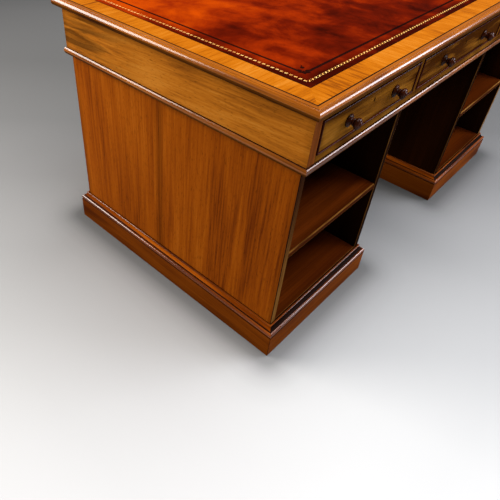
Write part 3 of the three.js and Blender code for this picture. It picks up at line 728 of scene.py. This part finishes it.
# A flat stamped mark: a low lozenge with eight sides.
def stampMark(bm, centre, long, wide, turn, height):
    made = bmesh.ops.create_cone(bm, cap_ends=True, segments=8, radius1=0.5, radius2=0.42, depth=1.0)
    shape = Matrix.Translation(centre) @ Matrix.Rotation(turn, 4, "Z")
    shape = shape @ Matrix.Diagonal((long, wide, height, 1))
    bmesh.ops.transform(bm, matrix=shape, verts=made["verts"])


def makeTooling(low, high, dark):
    s = leatherSizes
    level = high.z - s["pressed"] * mm + s["foil"] / 2 * mm
    centre = (low + high) / 2
    size = high - low
    gilt = bmesh.new()
    (long, wide), (dotLong, dotWide) = ((a * mm, b * mm) for a, b in (s["leaf"], s["dot"]))
    foil = s["foil"] * mm
    for quarter, turn, along, across in quarterTurns(size.x, size.y):
        run = along - 2 * s["giltAt"] * mm
        count = round(run / (s["pitch"] * mm))
        for mark in range(count):
            x = -run / 2 + (mark + 0.5) * run / count
            y = -across / 2 + s["giltAt"] * mm
            slant = math.radians(s["slant"] + 90 * quarter)
            spot = Matrix.Translation((centre.x, centre.y, level)) @ turn @ Vector((x, y, 0))
            stampMark(gilt, spot, long, wide, slant, foil)
            for side in (-1, 1):
                beside = turn @ Vector((*s["dotAt"], 0)) * side * mm
                stampMark(gilt, spot + beside, dotLong, dotWide, slant, foil)
    finishPiece(gilt, "leather_gilt_roll", "desk", [goldLeaf()])

    fleurons = bmesh.new()
    inset = (s["blindAt"] + s["fleuronIn"]) * mm
    surface = high.z + 0.05 * mm
    for _, turn, along, across in quarterTurns(size.x, size.y):
        corner = turn @ Vector((-along / 2 + inset, -across / 2 + inset, 0))
        diagonal = turn @ Vector((1, 1, 0)).normalized()
        heading = math.atan2(diagonal.y, diagonal.x)
        base = Vector((centre.x, centre.y, surface)) + corner
        for forward, sideways, markLong, markWide, markTurn in s["fleuron"]:
            offset = Matrix.Rotation(heading, 4, "Z") @ Vector((forward * mm, sideways * mm, 0))
            markTurn = heading + math.radians(markTurn)
            stampMark(fleurons, base + offset, markLong * mm, markWide * mm, markTurn, 0.2 * mm)
    finishPiece(fleurons, "leather_blind_fleurons", "desk", [dark])


makeTop()
makeLeather()
print("top and leather made")


# frieze

friezeSizes = {
    "beadHeight": 20, "beadStand": 6.5, "glue": 0.1, "quirk": 0.9,  # mm
    # painted shade under the top: the frieze ends darken towards the top
    "endShade": (0.78, 0.71, 0.4),  # metres up, and strength
    "endFlame": (0.05, 0.36, 0.75),  # metres back, and strength
}


def makeFrieze():
    s = friezeSizes
    for hand in hands:
        node = f"frieze_end_{hand}"
        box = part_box(node)
        end = block(*box)
        roundEdges(end, boardArris)
        # The front face takes the darker stile look, painted shade.
        for face in end.faces:
            face.material_index = int(face.normal.y < -0.9)
        # The ends darken towards the top, painted shade under the top's edge.
        finishPiece(end, node + "_polished", "desk",
                    [wood("frieze", "y", box, 3.0, s["endShade"], s["endFlame"]), wood("stile", "z")], [node])
        node = f"drawer_partition_{hand}"
        boardPiece(node, "polished", "drawerFace", "z", fineArris)
    boardPiece("frieze_back", "polished", "frieze", "x")
    boardPiece("frieze_bottom_rail", "polished", "drawerFace", "x", fineArris)
    boardPiece("dustboard", "planed", "oak", "x")
    boardPiece("frieze_top_rail", "polished", "drawerFace", "x", cutArris, cut=True)

    low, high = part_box("frieze_bead")
    inside = Vector((s["beadStand"] * mm, s["beadStand"] * mm, 0))
    foot = low.z / mm
    half = s["beadHeight"] / 2
    start = s["glue"]
    rise = half / (s["beadStand"] - start)
    bead = [(start, foot), {"centre": (start, foot + half), "turn": 180, "rise": rise, "steps": 22}]
    head = foot + s["beadHeight"]
    # Painted shade: the bead's lower half is darker and darkens downwards; the quirks above and below are
    # near-black lines of old wax and painted shade.
    levelFrame("frieze_bead", bead, low + inside, high - inside, "moulding", "xy",
               "frieze_bead", (foot * mm, (foot + half) * mm, 0.7),
               [(0, anywhere, foot, foot + half - 1.5, "mouldingFoot"),
                (0, anywhere, head - s["quirk"], head, "wax"), (0, anywhere, foot, foot + s["quirk"], "wax")])


makeFrieze()
print("frieze made")

# pedestals

pedestalSizes = {  # mm
    "jointAt": 442, "joint": 0.12, "frontRound": 1.6, "shelfRound": 3.0, "arris": 0.5,
    "plinth": 21, "face": 77, "torus": 13, "mould": 28.5, "fillet": 3, "filletWidth": 6.5, "glue": 0.1,
    # Widths in mm of the dark quirk lines and of the dark band where the moulding meets the side: old wax and
    # painted shade.
    "quirk": 1.1, "wax": 2.4,
    # painted shade on the outer sides' front faces, darkest just below the frieze bead
    "edgeShade": (0.62, 0.22, 0.85),  # metres up where it is thickest and where it ends, and its strength
    "frontLooks": {"plinthCove": "wax"},  # painted shade: the hollow at the front takes the near-black look
}


def longEdge(axis):
    return lambda edge: abs((edge.verts[0].co - edge.verts[1].co).normalized()[axis]) > squarish


# A board whose front edges are rounded more than the rest. Faces that look along inward, as -1 or 1 in X,
# take the shaded look, a painted shade. The front arris and the front edge may have looks of their own.
def facedBoard(name, box, look, grain, frontAxis, frontRound, replaced, arrisLook="", edgeLook="", inward=0):
    bm = block(*box)
    front = box[0].y
    along = longEdge(frontAxis)
    atFront = lambda edge: along(edge) and all(abs(v.co.y - front) < 1e-6 for v in edge.verts)
    roundEdges(bm, frontRound, 5, atFront)
    rounded = [f for f in bm.faces if f.calc_center_median().y < front + frontRound]
    rounded = [f for f in rounded if abs(f.normal.y) < square and abs(f.normal[frontAxis]) < 0.5]
    looksUsed = [look]
    if arrisLook:
        looksUsed.append(arrisLook)
        for face in rounded:
            face.material_index = 1
    if edgeLook:
        looksUsed.append(edgeLook)
        for face in bm.faces:
            if face.normal.y < -square:
                face.material_index = len(looksUsed) - 1
    if inward:
        looksUsed.append("shaded")
        for face in bm.faces:
            if face.normal.x * inward > squarish:
                face.material_index = len(looksUsed) - 1
    roundEdges(bm, pedestalSizes["arris"] * mm, 2, sharpEdge)
    # painted shade below the frieze bead, on the outer sides' front faces
    dirtAndShade = pedestalSizes["edgeShade"] if inward else None
    materials = [wood(used, grain, box, under=dirtAndShade if used == "edge" else None) for used in looksUsed]
    finishPiece(bm, name, "desk", materials, [replaced])


def makePedestal(hand):
    s = pedestalSizes
    name = f"{hand}_pedestal"
    boxes = {place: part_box(f"{name}_{place}") for place in ("outer_side", "inner_side")}
    for place, (low, high) in boxes.items():
        joint = low.y + s["jointAt"] * mm
        gap = s["joint"] * mm / 2
        node = f"{name}_{place}"
        fore = (low, Vector((high.x, joint - gap, high.z)))
        rear = (Vector((low.x, joint + gap, low.z)), high)
        outer = place == "outer_side"
        look = "carcase" if outer else "shaded"
        inward = (1 if hand == "left" else -1) if outer else 0
        for part, box, radius in (("fore", fore, s["frontRound"]), ("rear", rear, s["arris"])):
            # The outer side's front arris is painted near black: old wax and painted shade.
            edges = ("wax", "edge") if part == "fore" and outer else ("edge" if part == "fore" else "", "")
            facedBoard(f"{node}_{part}", box, look, "z", 2, radius * mm, node, *edges, inward)

    low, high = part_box(f"{name}_back")
    middle = (low.x + high.x) / 2
    for place, left, right in (("left", low.x, middle - 0.1 * mm), ("right", middle + 0.1 * mm, high.x)):
        box = (Vector((left, low.y, low.z)), Vector((right, high.y, high.z)))
        boardPiece(f"{name}_back", f"{place}_board", "carcase", "z", box=box)
    shelves = {"top": (s["arris"], "", ""), "shelf": (s["shelfRound"], "edge", "inside"),
               "bottom": (s["arris"], "edge", "")}
    for place, (radius, *edges) in shelves.items():
        node = f"{name}_{place}"
        facedBoard(f"{node}_polished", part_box(node), "inside", "x", 0, radius * mm, node, *edges)

    low = Vector(min(a, b) for a, b in zip(boxes["outer_side"][0], boxes["inner_side"][0]))
    high = Vector(max(a, b) for a, b in zip(boxes["outer_side"][1], boxes["inner_side"][1]))
    placing = Matrix.Translation(((low.x + high.x) / 2, (low.y + high.y) / 2, 0))
    # old wax fills the eased corner
    corner = lambda edge: all(-v.co.y > (s["plinth"] - 0.1) * mm for v in edge.verts) and longEdge(2)(edge)
    places = ("front", "outer", "back", "inner") if hand == "right" else ("front", "inner", "back", "outer")
    nodes = [f"{name}_plinth_{place}" for place in places]
    inner, outer, face = s["glue"], s["plinth"], s["face"]
    board = [(inner, 0), (outer - 0.6, 0), (outer, 0.6), (outer, face - 1), (outer - 1, face), (inner, face)]
    size = high - low
    names = [node + "_board" for node in nodes]
    # A near-black line along the top of the board, under the moulding: old wax and painted shade.
    accents = [(outer - 1, outer, face - 1, face + 0.01, "wax")]
    mitredFrame(names, board, size.x, size.y, placing, "plinth", "xy", "desk", nodes,
                accents=accents, corner=corner)

    radius = s["torus"] / 2
    centre = outer - radius
    torusFoot = math.radians(80)
    top = face + s["mould"]
    coveTop = top - s["fillet"]
    torusHead = face + s["torus"]
    coveRise = (coveTop - torusHead) / (centre - s["filletWidth"])
    moulding = [
        (inner, face + 0.1),
        (centre + radius * math.cos(torusFoot), face + radius * (1 - math.sin(torusFoot))),
        {"centre": (centre, face + radius), "turn": 170, "steps": 16},
        {"centre": (centre, coveTop), "turn": -90, "rise": coveRise, "steps": 10},
        (s["filletWidth"], top - 0.4), (s["filletWidth"] - 0.4, top), (s["wax"], top), (inner, top),
    ]
    # Dark bands in the quirks above and below the torus and where the moulding meets the side: old wax and
    # painted shade.
    accents = [(0, anywhere, torusHead, coveTop, "plinthCove"),
               (0, anywhere, face, face + 2.2 * s["quirk"], "wax"),
               (0, anywhere, torusHead + 0.01, torusHead + s["quirk"], "wax"),
               (0, s["wax"], top - 0.01, top + 1, "wax")]
    names = [node + "_moulding" for node in nodes]
    mitredFrame(names, moulding, size.x, size.y, placing, "plinthMoulding", "xy", "desk",
                nodes, accents=accents, frontLooks=s["frontLooks"])


for hand in hands:
    makePedestal(hand)
print("pedestals made")


# drawers

drawerSizes = {
    "beadWidth": 4, "beadStand": 3, "beadDepth": 13, "keyhole": 6, "holeDepth": 12,  # mm
    "keyTall": 0.72,  # a keyhole's width over its height
    # dirt from the key and painted shade round the hole
    "keyDirtAndShade": (2.2, 4.6, 0.95),  # mm from the keyhole where it is thickest and where it ends, and strength
    # painted shade: the middle and right drawer fronts are painted darker
    "darker": {"left": 0.0, "middle": 0.21, "right": 0.12},
}
knobSizes = {  # mm
    "peg": 4.7, "pegLength": 12, "flange": 15.5, "neck": 7, "head": 13.5, "length": 29.5,
}
lockSizes = {"plate": 2, "caseInset": 6, "screw": 3.1, "screwIn": 4.5, "bolt": 20}  # mm


def makeDrawer(name):
    s = drawerSizes
    body = f"{name}_drawer"
    front = easedCopy(f"{body}_front", cutArris)
    low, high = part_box(f"{body}_front")
    middle = (low.x + high.x) / 2
    for face in front.faces:  # the keyhole's walls are painted near black, painted shade in the hole
        spot = face.calc_center_median()
        inHole = abs(spot.x - middle) < s["keyhole"] * mm and low.z + 5 * mm < spot.z < high.z - 5 * mm
        inHole = inHole and spot.y < low.y + s["holeDepth"] * mm  # further in is the lock's pocket
        face.material_index = int(inHole and abs(face.normal.y) < squarish)
    walls = [face.calc_center_median().z for face in front.faces if face.material_index]
    keyhole = Vector((middle, low.y, (min(walls) + max(walls)) / 2))
    veneer = wood("drawerFace", "x", (low, high), darker=s["darker"][name], keyhole=keyhole)
    finishPiece(front, f"{body}_front_veneered", body, [veneer, wood("wax", "y")],
                [f"{body}_front"])

    low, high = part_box(f"{body}_cock_bead")
    centre = Vector(((low.x + high.x) / 2, low.y + s["beadStand"] * mm, (low.z + high.z) / 2))
    upright = Matrix.Translation(centre) @ Matrix.Rotation(math.radians(90), 4, "X")
    nose = s["beadWidth"] / 2
    bead = [(-s["beadWidth"], -s["beadDepth"]), (0, -s["beadDepth"]), (0, s["beadStand"] - nose),
            {"centre": (-nose, s["beadStand"] - nose), "turn": 180, "steps": 10}]
    names = [f"{body}_cock_bead_{place}" for place in ("bottom", "right", "top", "left")]
    size = high - low
    mitredFrame(names, bead, size.x, size.z, upright, "cockBead", "xz", body,
                [f"{body}_cock_bead"])

    for place, grain in (("side_left", "y"), ("side_right", "y"), ("bottom", "x"), ("back", "x")):
        boardPiece(f"{body}_{place}", "planed", "oak", grain, cutArris, body=body, cut=True)
    makeLock(body)
    for hand in hands:
        makeKnob(body, hand)


def makeKnob(body, hand):
    s = knobSizes
    node = f"{body}_knob_{hand}"
    low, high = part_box(node)
    flange, neck, head, length = s["flange"], s["neck"], s["head"], s["length"]
    bm = drawOutline([
        (-s["pegLength"], 0), (-s["pegLength"], s["peg"]), (0.1, s["peg"]), (0.1, flange - 1.5),
        (0.7, flange - 0.3), (1.6, flange), (2.5, flange - 0.3), (3.1, flange - 1.5), (3.0, flange - 2.6),
        (3.9, flange - 3.0), (4.6, flange - 3.9), (4.7, flange - 5.2), (4.4, flange - 6.0),
        (5.4, neck + 1.4), (7.2, neck + 0.3), (9.4, neck - 0.2), (10.8, neck + 0.2), (11.2, neck + 1.3),
        (12.0, neck + 1.9), (12.8, neck + 1.5), (13.2, neck + 0.8), (14.4, neck + 1.8), (16.0, head - 3.0),
        (17.8, head - 1.1), (19.8, head - 0.15), (21.5, head), (23.4, head - 0.5), (25.2, head - 1.9),
        (26.6, head - 4.2), (27.2, head - 6.4), (27.0, head - 7.2), (27.9, head - 7.8), (28.9, head - 9.6),
        (length, 1.6), (length, 0),
    ], closed=False)
    bmesh.ops.spin(bm, geom=bm.edges[:], cent=(0, 0, 0), axis=(0, 1, 0), angle=2 * math.pi, steps=48,
                   use_merge=True)
    middle = Vector(((low.x + high.x) / 2, high.y - s["pegLength"] * mm, (low.z + high.z) / 2))
    bmesh.ops.translate(bm, vec=middle, verts=bm.verts)
    finishPiece(bm, f"{node}_turned", body, [wood("dark", "y")], [node])


# A slotted countersunk screw head, lying in the XZ plane and facing +Y.
def screwHead(bm, centre, radius, height, slotTurn):
    turned = Matrix.Rotation(math.radians(-90), 4, "X")
    made = bmesh.ops.create_cone(bm, cap_ends=True, segments=20, radius1=radius, radius2=radius * 0.9,
                                 depth=height)
    bmesh.ops.transform(bm, matrix=Matrix.Translation(centre) @ turned, verts=made["verts"])
    slot = bmesh.ops.create_cube(bm, size=1.0)
    shape = Matrix.Translation(centre + Vector((0, height * 0.5, 0))) @ Matrix.Rotation(slotTurn, 4, "Y")
    shape = shape @ Matrix.Diagonal((radius * 1.5, height * 0.3, radius * 0.24, 1))
    bmesh.ops.transform(bm, matrix=shape, verts=slot["verts"])
    # The slot is a thin block on the head in near-black brass: dirt and painted shade of a slot.
    for face in {f for v in slot["verts"] for f in v.link_faces}:
        face.material_index = 1


def makeLock(body):
    s = lockSizes
    node = f"{body}_lock"
    low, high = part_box(node)
    inset = s["caseInset"] * mm
    plateFoot = high.y - s["plate"] * mm
    plate = block((low.x, plateFoot, low.z), high)
    roundEdges(plate, 0.4 * mm, 2)
    brass = agedBrass("brass_cast_aged", [(0.3, "#4a3415"), (0.5, "#8a6a34"), (0.68, "#b08d4c")], 0.42)
    # The slots' near-black brass is dirt and painted shade.
    grime = agedBrass("brass_slot_dirt_and_painted_shade", [(0.3, "#120c05"), (0.5, "#1e150a"), (0.7, "#2a1e10")], 0.6)
    for x in (low.x + s["screwIn"] * mm, high.x - s["screwIn"] * mm):
        for z in (low.z + s["screwIn"] * mm, high.z - s["screwIn"] * mm):
            spot = Vector((x, high.y - 0.2 * mm, z))
            screwHead(plate, spot, s["screw"] * mm, 0.4 * mm, chance.uniform(0, math.pi))
    finishPiece(plate, f"{node}_plate", body, [brass, grime], [node])

    case = block((low.x + inset, low.y, low.z), (high.x - inset, plateFoot - 0.02 * mm, high.z))
    top = max(case.faces, key=lambda face: face.calc_center_median().z)
    bmesh.ops.inset_region(case, faces=[top], thickness=1.2 * mm, depth=0.0, use_even_offset=True)
    bmesh.ops.inset_region(case, faces=[top], thickness=0.05 * mm, depth=-1.0 * mm, use_even_offset=True)
    middle = (low.x + high.x) / 2
    reach = (s["bolt"] / 2 - 1) * mm
    bolt = block((middle - reach, low.y + 1.6 * mm, high.z - 3 * mm),
                 (middle + reach, high.y - 3.6 * mm, high.z - 0.3 * mm))
    roundEdges(bolt, 0.3 * mm, 2)
    finishPiece(case, f"{node}_case", body, [brass], [node])
    finishPiece(bolt, f"{node}_bolt", body, [brass], [node])


for drawerName in drawerNames:
    makeDrawer(drawerName)
print("drawers made")


# studio

studio = {
    "floorSize": 40,
    # metres past the desk's middle, seen from the camera, and the shade of the paint there
    "shades": [(-1.25, "#c6c6c6"), (-1.0, "#bababa"), (-0.72, "#a6a6a6"), (-0.42, "#909090"),
               (0.0, "#787878"), (0.45, "#676767"), (1.1, "#626262"), (1.9, "#6f6f6f")],
    # metres from the plinths, and the share of that shade kept there: a painted contact shadow, darkest in
    # the corner under the board
    "paintedShadow": [(0, "#a7a7a7"), (0.025, "#afafaf"), (0.04, "#c2c2c2"), (0.06, "#d6d6d6"),
             (0.08, "#e3e3e3"), (0.115, "#ececec"), (0.16, "#eeeeee"), (0.3, "#e8e8e8"), (0.5, "#e3e3e3")],
    "world": ("#e6e8ea", 0.12),
}


def makeStudio():
    s = studio
    bm = bmesh.new()
    bmesh.ops.create_grid(bm, x_segments=1, y_segments=1, size=s["floorSize"] / 2)
    bmesh.ops.translate(bm, vec=(0, 0, -0.2 * mm), verts=bm.verts)
    mesh = bpy.data.meshes.new("studio_floor")
    bm.to_mesh(mesh)
    bm.free()
    floor = bpy.data.objects.new("studio_floor", mesh)
    scene.collection.objects.link(floor)
    floor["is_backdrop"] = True
    # painted sweep, matt: white at the front, shading to grey away from the lamps: painted light standing in
    # for their fall-off
    shine = {"Roughness": 0.9, "Specular IOR Level": 0.1}
    material, tree, shader, coords = newMaterial("studio_floor_paint", shine)
    heading = math.radians(cameraSet["heading"])
    away = (-math.sin(heading), math.cos(heading), 0)
    depth = addNode(tree, "VectorMath", {"operation": "DOT_PRODUCT", 1: away}, {0: coords}).outputs["Value"]
    first, last = s["shades"][0][0], s["shades"][-1][0]
    share = addNode(tree, "MapRange", {"From Min": first, "From Max": last}, {"Value": depth})
    stops = [((place - first) / (last - first), shade) for place, shade in s["shades"]]
    shade = addNode(tree, "ValToRGB", {"stops": stops}, {0: share})

    # Painted contact shadow round the plinths, by the floor's distance from them.
    distances = []
    for hand in hands:
        low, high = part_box(f"{hand}_pedestal_plinth_outer")
        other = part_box(f"{hand}_pedestal_plinth_inner")
        low, high = Vector(map(min, low, other[0])), Vector(map(max, high, other[1]))
        low.z = high.z = 0
        half = (high - low) / 2
        half.z = 1.0  # the floor lies well within this, so only the distance across it counts
        beyond = beyondBox(tree, coords, (low + high) / 2, half)
        outside = addNode(tree, "VectorMath", {"operation": "MAXIMUM", 1: (0, 0, 0)}, {0: beyond})
        distance = addNode(tree, "VectorMath", {"operation": "LENGTH"}, {0: outside})
        distances.append(distance.outputs["Value"])
    nearest = addNode(tree, "Math", {"operation": "MINIMUM"}, {0: distances[0], 1: distances[1]})
    reach = s["paintedShadow"][-1][0]
    share = addNode(tree, "MapRange", {"From Max": reach}, {"Value": nearest})
    stops = [(place / reach, shade) for place, shade in s["paintedShadow"]]
    paintedShadow = addNode(tree, "ValToRGB", {"stops": stops}, {0: share})
    both = {"data_type": "RGBA", "blend_type": "MULTIPLY", 0: 1.0}
    colour = addNode(tree, "Mix", both, {mixA: shade, mixB: paintedShadow}).outputs[mixOut]
    link(tree, shader, {"Base Color": colour})
    mesh.materials.append(material)

    world = bpy.data.worlds.new("studio")
    scene.world = world
    world.use_nodes = True
    background = world.node_tree.nodes["Background"]
    background.inputs["Color"].default_value = linear(s["world"][0])
    background.inputs["Strength"].default_value = s["world"][1]


# Each lamp is a soft box: its place, the point it faces, its width and height in metres, watts and tint.
lamps = {
    "key": ((-1.9, 2.1, 1.5), (-0.5, 0.0, 0.6), (1.7, 1.2), 130, "#fffaf4"),
    "overhead": ((0.1, -0.6, 3.3), (0.0, -0.3, 0.0), (3.2, 2.4), 225, "#ffffff"),
    "frontStrip": ((1.8, -2.2, 1.3), (-0.4, -0.45, 0.65), (1.7, 1.0), 98, "#f0f3ff"),
}


def makeLamps():
    for name, (place, aim, size, power, tint) in lamps.items():
        data = bpy.data.lights.new(name, "AREA")
        data.shape = "RECTANGLE"
        data.size, data.size_y = size
        data.energy = power
        data.color = linear(tint)[:3]
        lamp = bpy.data.objects.new(name, data)
        lamp.location = place
        lamp.rotation_euler = (Vector(place) - Vector(aim)).to_track_quat("Z", "Y").to_euler()
        scene.collection.objects.link(lamp)


# camera

cameraSet = {
    "place": (-1.5307, -0.8281, 1.2125),
    "tilt": 49.658,
    "roll": -1.947,
    "heading": -45.615,
    "lens": 36.41,
    "shift": (0.1113, -0.0651),
}
cameraData = bpy.data.cameras.new("camera")
cameraData.lens = cameraSet["lens"]
cameraData.shift_x, cameraData.shift_y = cameraSet["shift"]
camera = bpy.data.objects.new("camera", cameraData)
camera.location = cameraSet["place"]
camera.rotation_euler = [math.radians(cameraSet[turn]) for turn in ("tilt", "roll", "heading")]
scene.collection.objects.link(camera)
scene.camera = camera
scene.view_settings.view_transform = "Standard"

makeStudio()
makeLamps()
print("studio lit")

sizes = [list(corner) for corner in cadBox] + [list(corner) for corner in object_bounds()]
